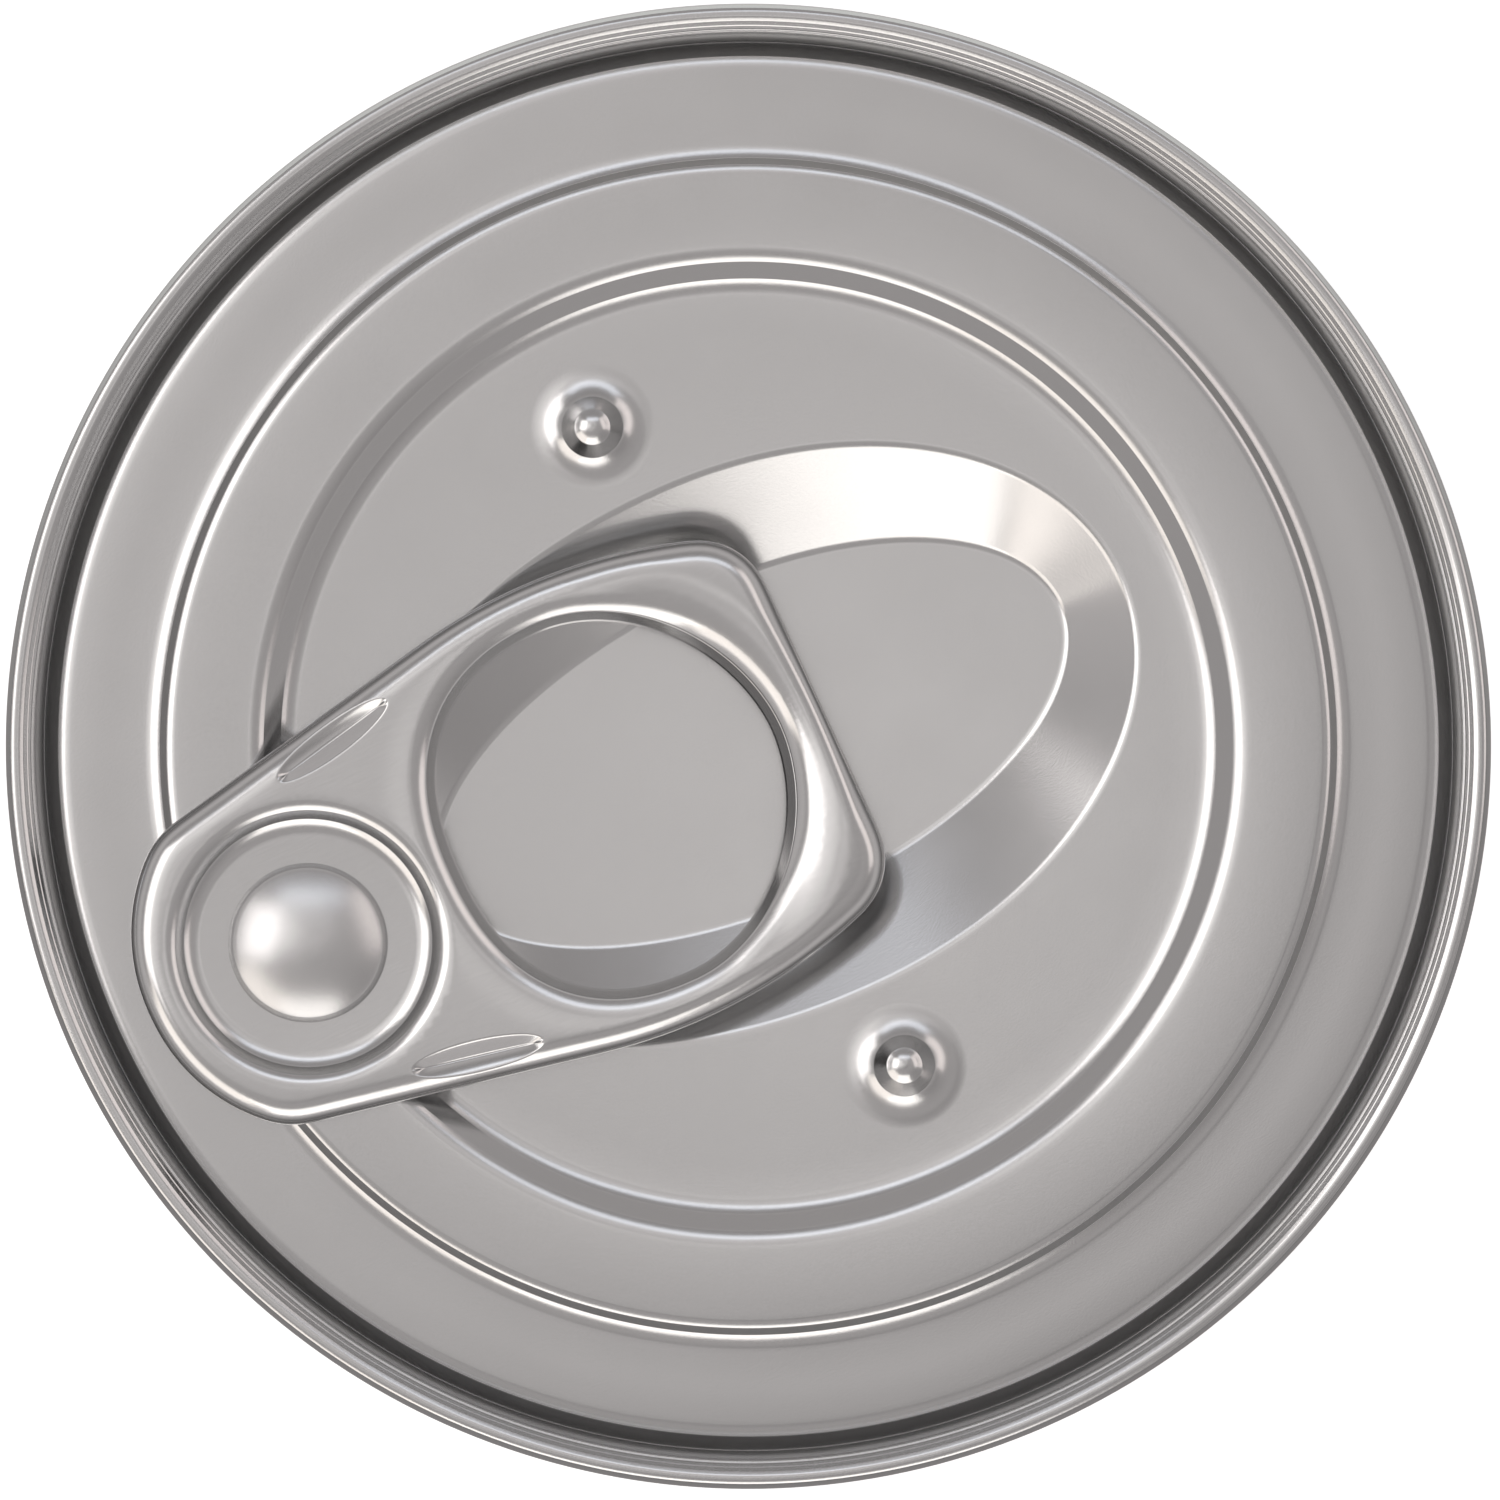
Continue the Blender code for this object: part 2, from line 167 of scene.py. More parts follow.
def rounded_path(corners, arc_steps, closed=False):
    """Points along a path whose corners (a, b, radius) are rounded by arcs of their own."""
    points = []
    count = len(corners)
    for index, (a, b, radius) in enumerate(corners):
        is_end = not closed and index in (0, count - 1)
        if is_end or radius == 0.0:
            points.append((a, b))
            continue
        before = corners[index - 1]
        after = corners[(index + 1) % count]
        in_angle = math.atan2(b - before[1], a - before[0])
        out_angle = math.atan2(after[1] - b, after[0] - a)
        turn = (out_angle - in_angle + math.pi) % FULL_TURN - math.pi
        reach = radius * math.tan(abs(turn) / 2.0)
        side = math.copysign(1.0, turn)
        centre_a = a - reach * math.cos(in_angle) - side * radius * math.sin(in_angle)
        centre_b = b - reach * math.sin(in_angle) + side * radius * math.cos(in_angle)
        for step in range(arc_steps + 1):
            angle = in_angle + turn * step / arc_steps
            points.append((centre_a + side * radius * math.sin(angle),
                           centre_b - side * radius * math.cos(angle)))
    return points


def guarded(path, guard=0.05 * MM):
    """The path with a point close to both ends of each long straight run, which keeps the
    shading of a rounding off the flat beside it."""
    points = [path[0]]
    for start, end in zip(path, path[1:]):
        run = math.dist(start, end)
        if run > 16.0 * guard:
            for share in (guard / run, 1.0 - guard / run):
                points.append(tuple(a + (b - a) * share for a, b in zip(start, end)))
        points.append(end)
    return points


def oval(centre_x, centre_y, size, segments):
    """A closed oval whose left and right halves may differ in length and fullness."""
    points = []
    for step in range(segments):
        angle = FULL_TURN * step / segments
        side = "right" if math.cos(angle) >= 0.0 else "left"
        power = 2.0 / size.get(side + "_power", 2.0)
        along = math.copysign(abs(math.cos(angle)) ** power, math.cos(angle))
        across = math.copysign(abs(math.sin(angle)) ** power, math.sin(angle))
        points.append((centre_x + size[side] * along, centre_y + size["half_width"] * across))
    return points


def evenly_spaced(points, count):
    """The closed outline again, as points at equal distances along it."""
    closed = points + points[:1]
    marks = [0.0]
    for start, end in zip(closed, closed[1:]):
        marks.append(marks[-1] + math.dist(start, end))
    spaced = []
    piece = 0
    for step in range(count):
        target = marks[-1] * step / count
        while marks[piece + 1] < target:
            piece += 1
        share = (target - marks[piece]) / (marks[piece + 1] - marks[piece])
        start, end = closed[piece], closed[piece + 1]
        spaced.append((start[0] + (end[0] - start[0]) * share,
                       start[1] + (end[1] - start[1]) * share))
    return spaced


def relaxed(points, passes):
    """The closed outline with its changes of curvature blended."""
    count = len(points)
    for _ in range(passes):
        points = [tuple((points[i - 1][k] + 2.0 * points[i][k] + points[(i + 1) % count][k]) / 4.0
                        for k in (0, 1)) for i in range(count)]
    return points


def inset(points, distance):
    """The closed outline, which runs counter-clockwise, moved inwards by a distance."""
    count = len(points)
    moved = []
    for i in range(count):
        before, after = points[i - 1], points[(i + 1) % count]
        run = math.dist(before, after)
        moved.append((points[i][0] - distance * (after[1] - before[1]) / run,
                      points[i][1] + distance * (after[0] - before[0]) / run))
    return moved


def smooth(value, start, end):
    """Share from 0 to 1 that a value has gone from its start to its end, eased at both."""
    share = min(max((value - start) / (end - start), 0.0), 1.0)
    return share * share * (3.0 - 2.0 * share)


def circle(radius, height, segments, centre=(0.0, 0.0)):
    """A ring of points round a vertical axis."""
    return [(centre[0] + radius * math.cos(FULL_TURN * k / segments),
             centre[1] + radius * math.sin(FULL_TURN * k / segments), height)
            for k in range(segments)]


def shoulder(bend, sweep):
    """Distances from a step with the drop at each, from the step outwards. A bend and a sweep
    are both a length and a drop: the bend is close to the step, the sweep long and faint."""
    (length, drop), (reach, sink) = bend, sweep
    marks = [length * share for share in (0.0, 0.12, 0.26, 0.42, 0.58, 0.74, 0.88, 1.0)]
    if sink > 0.0:
        marks += [length + (reach - length) * share for share in (0.12, 0.25, 0.4, 0.6, 0.8, 1.0)]
    return [(mark, drop * max(1.0 - mark / length, 0.0) ** 2
             + sink * max(1.0 - mark / reach, 0.0) ** 2) for mark in marks]


def soft_step(outer, outer_z, inner, inner_z, outer_bend, inner_bend, radius=0.1 * MM,
              sweep=NO_SWEEP):
    """Corners of a straight step between two levels, with the wide shoulder on each side of it
    that pressed sheet has beside a tool."""
    sign = math.copysign(1.0, inner_z - outer_z)
    above = [(outer + away, outer_z + sign * drop, 0.0 if away else radius)
             for away, drop in shoulder(outer_bend, sweep)]
    below = [(inner - away, inner_z - sign * drop, 0.0 if away else radius)
             for away, drop in shoulder(inner_bend, sweep)]
    return above[::-1] + below


# ---------------------------------------------------------------- mesh making


def loop_edges(solid, loop):
    """Edges of a closed loop of vertices."""
    return [solid.edges.get((loop[i - 1], loop[i])) for i in range(len(loop))]


def place(loop, points):
    """Move each vertex of a loop to its own point."""
    for corner, point in zip(loop, points):
        corner.co = point


def new_loop(solid, points):
    """A closed loop of vertices."""
    made = bmesh.ops.create_circle(solid, cap_ends=False, segments=len(points), radius=MM)
    place(made["verts"], points)
    return made["verts"]


def skin(solid, loop, rings):
    """Pull a loop of vertices through rings of points and return the last loop."""
    for points in rings:
        made = bmesh.ops.extrude_edge_only(solid, edges=loop_edges(solid, loop))["geom"]
        fresh = {item for item in made if isinstance(item, bmesh.types.BMVert)}
        loop = [next(edge.other_vert(corner) for edge in corner.link_edges
                     if edge.other_vert(corner) in fresh) for corner in loop]
        place(loop, points)
    return loop


def fill_between(solid, loops, spread, surface):
    """Fill the face between an outer loop and the loops of its openings, through spread points
    that lie on a surface. Blender's own fill has no points inside the face, so a domed face
    would come out faceted."""
    corners = [corner for loop in loops for corner in loop]
    flat = [Vector((corner.co.x, corner.co.y)) for corner in corners]
    fence = KDTree(len(flat))
    for index, point in enumerate(flat):
        fence.insert((point.x, point.y, 0.0), index)
    fence.balance()
    edges = []
    start = 0
    for loop in loops:
        count = len(loop)
        edges += [(start + i, start + (i + 1) % count) for i in range(count)]
        start += count
    borders = [[(corner.co.x, corner.co.y) for corner in loop] for loop in loops]
    if spread:
        for point, kept in zip(spread, on_face(spread, borders)):
            if kept and fence.find((*point, 0.0))[2] > SPREAD_GAP:
                flat.append(Vector(point))
    points, _, triangles, origins, _, _ = delaunay_2d_cdt(flat, edges, [], 1, 1e-9)
    made = []
    for point, origin in zip(points, origins):
        if origin and origin[0] < len(corners):
            made.append(corners[origin[0]])
        else:
            made.append(solid.verts.new((point.x, point.y, surface(point.x, point.y))))
    middles = [tuple(sum((points[i] for i in triangle), Vector((0.0, 0.0))) / len(triangle))
               for triangle in triangles]
    for triangle, kept in zip(triangles, on_face(middles, borders)):
        if kept:
            solid.faces.new([made[i] for i in triangle])


def on_face(points, borders):
    """For each flat point, whether it lies inside the first border and outside the others."""
    kept = inside(points, borders[0])
    for border in borders[1:]:
        kept &= ~inside(points, border)
    return kept


def inside(points, border):
    """For each flat point, whether it lies inside a closed border."""
    x, y = np.array(points).T
    found = np.zeros(len(x), bool)
    for (ax, ay), (bx, by) in zip(border, border[1:] + border[:1]):
        if ay != by:
            spans = (ay > y) != (by > y)
            found ^= spans & (x < ax + (y - ay) * (bx - ax) / (by - ay))
    return found


def turn(solid, path, segments):
    """Spin a path of (radius, height) all the way round the Z axis."""
    corners = [solid.verts.new((radius, 0.0, height)) for radius, height in path]
    edges = [solid.edges.new(pair) for pair in zip(corners, corners[1:])]
    bmesh.ops.spin(solid, geom=corners + edges, cent=(0.0, 0.0, 0.0), axis=(0.0, 0.0, 1.0),
                   dvec=(0.0, 0.0, 0.0), angle=FULL_TURN, steps=segments, use_merge=True,
                   use_duplicate=False)
    bmesh.ops.remove_doubles(solid, verts=solid.verts[:], dist=MERGE_DISTANCE)


def finished(name, solid, finish, replaced=(), sharp=40.0):
    """Turn a bmesh into a piece of the can that rides on its body."""
    bmesh.ops.recalc_face_normals(solid, faces=solid.faces[:])
    mesh = bpy.data.meshes.new(name)
    solid.to_mesh(mesh)
    solid.free()
    mesh.materials.append(finish)
    mesh.shade_smooth()
    mesh.set_sharp_from_angle(angle=math.radians(sharp))
    piece = bpy.data.objects.new(name, mesh)
    bpy.context.scene.collection.objects.link(piece)
    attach(piece, "root")
    if replaced:
        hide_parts(*replaced)


# ---------------------------------------------------------------- materials

PATCH_SIZE = 5.0 * MM
GLOSS_CHANGE = 0.012
GRAIN_CONTRAST = 0.035
# Round the countersink the metal is made duller, as a layer of seaming compound would, and its
# colour is darkened a little there: painted shade.
FILM_AND_SHADE_RADIUS = 36.0 * MM
FILM_AND_SHADE_HALF_WIDTH = 0.45 * MM
FILM_AND_SHADE_EDGE = 0.62 * MM
FILM_ROUGHNESS = 0.5
COUNTERSINK_PAINTED_SHADE = 0.97


def add_node(tree, kind, inputs=None, **settings):
    """Add a node with its settings, and link or set its inputs."""
    node = tree.nodes.new(kind)
    for name, value in settings.items():
        setattr(node, name, value)
    for name, value in (inputs or {}).items():
        if isinstance(value, bpy.types.NodeSocket):
            tree.links.new(value, node.inputs[name])
        else:
            node.inputs[name].default_value = value
    return node


def rgba(tint, strength=1.0):
    """A tint at a strength, with the alpha that colour sockets take."""
    return (*[channel * strength for channel in tint], 1.0)


def rolled_metal(name, tint, roughness, grain, relief, stretch=(1.0, 1.0, 1.0), groove=False):
    """A rolled metal sheet. Its grain is a length, drawn out by the stretch along the rolling
    direction, and its relief is the height of that grain; the grain also varies the tint a
    little. Broad patches vary the gloss a little. A groove round the Z axis may be made duller,
    as a layer of seaming compound would, and there the colour is darkened a little as painted
    shade."""
    finish = bpy.data.materials.get(name)
    if finish:
        return finish
    finish = bpy.data.materials.new(name)
    finish.use_nodes = True
    tree = finish.node_tree
    shader = tree.nodes["Principled BSDF"]
    shader.inputs["Metallic"].default_value = 1.0
    place = add_node(tree, "ShaderNodeTexCoord").outputs["Object"]
    drawn = add_node(tree, "ShaderNodeMapping", {"Vector": place, "Scale": stretch})
    fine = add_node(tree, "ShaderNodeTexNoise", {"Vector": drawn.outputs["Vector"],
                                                 "Scale": 1.0 / grain, "Detail": 2.0})
    patch = add_node(tree, "ShaderNodeTexNoise", {"Vector": place, "Scale": 1.0 / PATCH_SIZE,
                                                  "Detail": 3.0})
    gloss = add_node(tree, "ShaderNodeMapRange", {
        "Value": patch.outputs["Fac"], "From Min": 0.3, "From Max": 0.7,
        "To Min": roughness - GLOSS_CHANGE, "To Max": roughness + GLOSS_CHANGE})
    dull = gloss.outputs["Result"]
    coat = add_node(tree, "ShaderNodeMix", {
        0: fine.outputs["Fac"], 6: rgba(tint, 1.0 - GRAIN_CONTRAST),
        7: rgba(tint, 1.0 + GRAIN_CONTRAST)}, data_type="RGBA").outputs[2]
    if groove:
        flat = add_node(tree, "ShaderNodeVectorMath", {0: place, 1: (1.0, 1.0, 0.0)},
                        operation="MULTIPLY")
        radius = add_node(tree, "ShaderNodeVectorMath", {0: flat.outputs["Vector"]},
                          operation="LENGTH")
        away = add_node(tree, "ShaderNodeMath", {0: radius.outputs["Value"], 1: FILM_AND_SHADE_RADIUS},
                        operation="SUBTRACT")
        near = add_node(tree, "ShaderNodeMath", {0: away.outputs["Value"]}, operation="ABSOLUTE")
        film_and_shade = add_node(tree, "ShaderNodeMapRange", {
            "Value": near.outputs["Value"], "From Min": FILM_AND_SHADE_HALF_WIDTH, "From Max": FILM_AND_SHADE_EDGE,
            "To Min": 1.0, "To Max": 0.0})
        # Painted shade: round the countersink the metal's colour is darkened a little.
        coat = add_node(tree, "ShaderNodeMix", {
            0: film_and_shade.outputs["Result"], 6: coat, 7: rgba(tint, COUNTERSINK_PAINTED_SHADE)},
            data_type="RGBA").outputs[2]
        dull = add_node(tree, "ShaderNodeMix", {0: film_and_shade.outputs["Result"], 2: dull,
                                                3: FILM_ROUGHNESS}).outputs[0]
    tree.links.new(coat, shader.inputs["Base Color"])
    tree.links.new(dull, shader.inputs["Roughness"])
    bump = add_node(tree, "ShaderNodeBump", {"Height": fine.outputs["Fac"], "Strength": 1.0,
                                             "Distance": relief})
    tree.links.new(bump.outputs["Normal"], shader.inputs["Normal"])
    return finish


def end_tinplate(finishes):
    """Tinplate rolled to a stone finish, which gives the eye an even satin grey with a faint
    grain. The real grain is about 0.02 mm, and is drawn six times coarser so that it shows. A
    layer of seaming compound makes the countersink dull, and there the colour is darkened a
    little as painted shade."""
    return rolled_metal("stone_finish_tinplate", finishes.end_metal, 0.18, 0.12 * MM,
                        0.0012 * MM, groove=True)


def drawn_tinplate(finishes):
    """Tinplate drawn up into the rivet and headed over, which stretches its grain and gives the
    dome a silkier, softer shine than the flat sheet has. Its grain is drawn coarser too."""
    return rolled_metal("drawn_tinplate", finishes.end_metal, 0.25, 0.16 * MM, 0.0012 * MM)


def body_tinplate(finishes):
    """Bright tinplate rolled round the body, whose fine level lines break up reflections. The
    real lines are finer than 0.05 mm, and are drawn at 0.10 mm so that they show."""
    return rolled_metal("bright_finish_tinplate", finishes.body_metal, 0.17, 0.10 * MM,
                        0.0015 * MM, stretch=(0.02, 0.02, 1.0))


def tab_steel(finishes):
    """Tinned steel strip, rolled along the tab and polished by the forming tools, which gives
    the eye long bright reflections. Its fine lines are drawn at 0.10 mm so that they show."""
    return rolled_metal("tinned_strip_steel", finishes.tab_metal, 0.17, 0.10 * MM,
                        0.0010 * MM, stretch=(0.12, 1.0, 1.0))


# ---------------------------------------------------------------- the top end

# Each end's sheet is closed by a plug inside the body, between these distances from its crest.
PLUG_START = 3.1 * MM
PLUG_END = 6.3 * MM

PANEL_EDGE = 35.48 * MM
EDGE_BEND = (0.65 * MM, 0.09 * MM)

# Radius, depth below the crest and rounding of each corner, in millimetres: the foot of the
# countersink, the chuck wall with its two fine roller steps, the crest and the seam's outside.
RIM_CORNERS = (
    (36.225, 5.63, 0.02), (36.27, 5.13, 0.09), (36.46, 1.76, 1.10), (36.65, 0.618, 0.08),
    (36.795, 0.62, 0.126), (36.945, 0.38, 0.03), (37.01, 0.36, 0.02), (37.19, 0.073, 0.06),
    (37.43, 0.0, 0.56), (37.695, 0.0, 0.54), (37.86, 0.053, 0.125),
    (RIM_RADIUS / MM, 0.433, 0.73), (RIM_RADIUS / MM, 1.6, 0.8), (38.06, 3.0, 0.2),
    (36.76, 2.94, 0.0),
)

# Outer and inner radius of each step of the panel, and the bends outside and inside it.
OUTER_STEP = (30.24 * MM, 29.89 * MM, (0.75 * MM, 0.13 * MM), (0.45 * MM, 0.075 * MM))
INNER_STEP = (24.90 * MM, 24.03 * MM, (0.82 * MM, 0.155 * MM), (0.80 * MM, 0.15 * MM))

WELL_CENTRE_X = 1.0 * MM
WELL_MOUTH = {"right": 19.75 * MM, "left": 20.8 * MM, "half_width": 13.65 * MM,
              "left_power": 2.15}
WELL_FLOOR = {"right": 16.8 * MM, "left": 18.5 * MM, "half_width": 8.5 * MM}
WELL_BEND = 0.45 * MM
NUB_DISTANCE = 18.25 * MM
NUB_ANGLE = math.radians(91.3)
FLARE_RADIUS = 3.2 * MM
FLARE_RISE = 0.30 * MM
CONE_FOOT = 1.58 * MM


def rim_corners(crest, inward, foot_z):
    """Corners from the panel's outer edge through the countersink and over the double seam."""
    bend = [(PANEL_EDGE - away, foot_z + inward * drop, 0.0 if away else 0.10 * MM)
            for away, drop in shoulder(EDGE_BEND, EDGE_SWEEP)]
    return bend[::-1] + [(radius * MM, crest + inward * depth * MM, rounding * MM)
                         for radius, depth, rounding in RIM_CORNERS]


class CAN_OT_top_end(bpy.types.Operator):
    """Make the top end: seam, countersink, beaded panel, finger well and two pressed nubs"""
    bl_idname = "food_can.top_end"
    bl_label = "Top end"
    bl_options = {"REGISTER", "UNDO"}

    def execute(self, context):
        sizes = context.scene.food_can.can
        finish = end_tinplate(context.scene.food_can.finish)
        inner_z = CAN_TOP - sizes.inner_depth
        plateau_z = CAN_TOP - sizes.plateau_depth
        outer_z = CAN_TOP - sizes.outer_depth
        plug_radius = BODY_RADIUS - 0.15 * MM
        corners = [(plug_radius, CAN_TOP - PLUG_END, 0.0),
                   (plug_radius, CAN_TOP - PLUG_START, 0.0)]
        corners += reversed(rim_corners(CAN_TOP, -1.0, outer_z))
        for (outer, inner, *bends), outside_z, inside_z in ((OUTER_STEP, outer_z, plateau_z),
                                                            (INNER_STEP, plateau_z, inner_z)):
            corners += soft_step(outer, outside_z, inner, inside_z, *bends, sweep=BEAD_SWEEP)
        path = guarded(rounded_path(corners, 9))
        solid = bmesh.new()
        first = new_loop(solid, circle(path[0][0], path[0][1], RIM_SEGMENTS))
        loop = skin(solid, first, [circle(r, z, RIM_SEGMENTS) for r, z in path[1:]])
        loop = skin(solid, loop, [circle(path[-1][0] - 0.06 * MM, inner_z, RIM_SEGMENTS)])
        openings = []
        for rings in (self.well_rings(inner_z, sizes.well_depth),
                      self.nub_rings(inner_z, sizes.nub_height, NUB_ANGLE),
                      self.nub_rings(inner_z, sizes.nub_height, NUB_ANGLE + math.pi)):
            openings.append(new_loop(solid, rings[0]))
            bottom = skin(solid, openings[-1], rings[1:])
            bmesh.ops.contextual_create(solid, geom=loop_edges(solid, bottom))
        fill_between(solid, [loop, *openings], [], lambda x, y: inner_z)
        bmesh.ops.contextual_create(solid, geom=loop_edges(solid, first))
        finished("top_end_sheet", solid, finish, ["top_end"])
        return {"FINISHED"}

    def well_rings(self, panel_z, depth):
        """Rings from the well's mouth down its sloping wall to its floor."""
        mouth = oval(WELL_CENTRE_X, 0.0, WELL_MOUTH, RIM_SEGMENTS)
        floor = oval(WELL_CENTRE_X, 0.0, WELL_FLOOR, RIM_SEGMENTS)
        columns = []
        for start, end in zip(mouth, floor):
            run = math.dist(start, end)
            bend = (WELL_BEND, depth * WELL_BEND / (2.0 * (run + WELL_BEND)))
            corners = soft_step(0.0, panel_z, -run, panel_z - depth, bend, bend, 0.0)
            corners.insert(0, (WELL_BEND + 0.06 * MM, panel_z, 0.0))
            corners.append((-run - WELL_BEND - 0.06 * MM, panel_z - depth, 0.0))
            columns.append([(start[0] - (end[0] - start[0]) * along / run,
                             start[1] - (end[1] - start[1]) * along / run, z)
                            for along, z, _ in corners])
        return [list(ring) for ring in zip(*columns)]

    def nub_rings(self, panel_z, height, angle):
        """Rings from a nub's wide flare up its steep cone to its small domed top."""
        corners = [(FLARE_RADIUS + 0.06 * MM, 0.0, 0.0)]
        corners += [(CONE_FOOT + (FLARE_RADIUS - CONE_FOOT) * share,
                     FLARE_RISE * (1.0 - share) ** 2.2, 0.0)
                    for share in (1.0, 0.78, 0.6, 0.46, 0.35, 0.25, 0.17, 0.1, 0.04)]
        corners += [(CONE_FOOT, FLARE_RISE, 0.10 * MM),
                    (0.93 * MM, height - 0.21 * MM, 0.08 * MM)]
        corners += [(radius * MM, height - 0.26 * MM * radius ** 2, 0.0)
                    for radius in (0.85, 0.7, 0.55, 0.4, 0.27, 0.15, 0.05)]
        centre = (NUB_DISTANCE * math.cos(angle), NUB_DISTANCE * math.sin(angle))
        return [circle(radius, panel_z + z, SMALL_SEGMENTS, centre)
                for radius, z in rounded_path(corners, 8)]


RIVET_DOME_RADIUS = 3.80 * MM
RIVET_SHANK_RADIUS = 2.0 * MM
RIVET_DROP = 0.45 * MM


class CAN_OT_rivet(bpy.types.Operator):
    """Make the rivet that holds the tab: a domed head, a shank and its pad"""
    bl_idname = "food_can.rivet"
    bl_label = "Rivet"
    bl_options = {"REGISTER", "UNDO"}

    def execute(self, context):
        settings = context.scene.food_can
        finish = drawn_tinplate(settings.finish)
        panel_z = CAN_TOP - settings.can.plateau_depth
        island_z = TAB_TOP - settings.tab.island_depth
        head_top = CAN_TOP - RIVET_DROP
        rise = settings.tab.rivet_rise
        bow = (RIVET_DOME_RADIUS ** 2 + rise ** 2) / (2.0 * rise)
        half_angle = math.asin(RIVET_DOME_RADIUS / bow)
        steps = 20
        path = []
        for step in range(steps + 1):
            angle = half_angle * step / steps
            path.append((bow * math.sin(angle), head_top - bow * (1.0 - math.cos(angle))))
        path += rounded_path([(*path.pop(), 0.0),
                              (3.86 * MM, head_top - rise - 0.03 * MM, 0.06 * MM),
                              (3.97 * MM, head_top - rise - 0.20 * MM, 0.10 * MM),
                              (3.985 * MM, island_z + 0.10 * MM, 0.05 * MM),
                              (4.10 * MM, island_z, 0.05 * MM),
                              (4.25 * MM, island_z - 0.03 * MM, 0.0)], 6)
        path += [(RIVET_SHANK_RADIUS, island_z - 0.05 * MM),
                 (RIVET_SHANK_RADIUS, panel_z + 0.05 * MM),
                 (4.2 * MM, panel_z + 0.05 * MM),
                 (4.7 * MM, panel_z - 1.2 * MM),
                 (0.0, panel_z - 1.2 * MM)]
        solid = bmesh.new()
        turn(solid, path, SMALL_SEGMENTS)
        bmesh.ops.translate(solid, verts=solid.verts[:], vec=(RIVET_X, SIDE_PLAY, 0.0))
        finished("rivet", solid, finish)
        return {"FINISHED"}


# ---------------------------------------------------------------- the pull tab

TAB_CORNERS = (
    (-33.70 * MM, 4.27 * MM, 9.8 * MM),
    (-29.75 * MM, 8.21 * MM, 3.9 * MM),
    (-5.87 * MM, 12.98 * MM, 29.0 * MM),
    (4.30 * MM, 9.72 * MM, 3.7 * MM),
)
RING_HOLE_X = -7.36 * MM
RING_HOLE = {"right": 8.77 * MM, "left": 8.77 * MM, "half_width": 9.49 * MM,
             "right_power": 1.86, "left_power": 2.3}
ISLAND_FOOT_RADIUS = 6.37 * MM
ISLAND_RIM_RADIUS = 6.81 * MM
ISLAND_RIM_BEND = (0.70 * MM, 0.147 * MM)
ISLAND_FOOT_BEND = (0.85 * MM, 0.18 * MM)
HOLE_SHOULDER = 0.51 * MM
HOLE_BEND = (0.95 * MM, 0.17 * MM)
HOLE_SWEEP = (2.6 * MM, 0.09 * MM)
CREST_DISTANCE = 1.9 * MM
CREST_EASE = 0.7 * MM
EDGE_DIP = (0.8 * MM, 0.11 * MM)
DISH_REACH = 3.0 * MM
DISH_DEPTH = 0.40 * MM
TAB_UNDER = 0.7 * MM
ROLL_START = 0.45 * MM
STIFFENER_CENTRE = (-19.26 * MM, 8.92 * MM)
STIFFENER_HALF_LENGTH = 3.5 * MM
STIFFENER_HALF_WIDTH = 0.80 * MM
STIFFENER_TURN = math.radians(11.7)


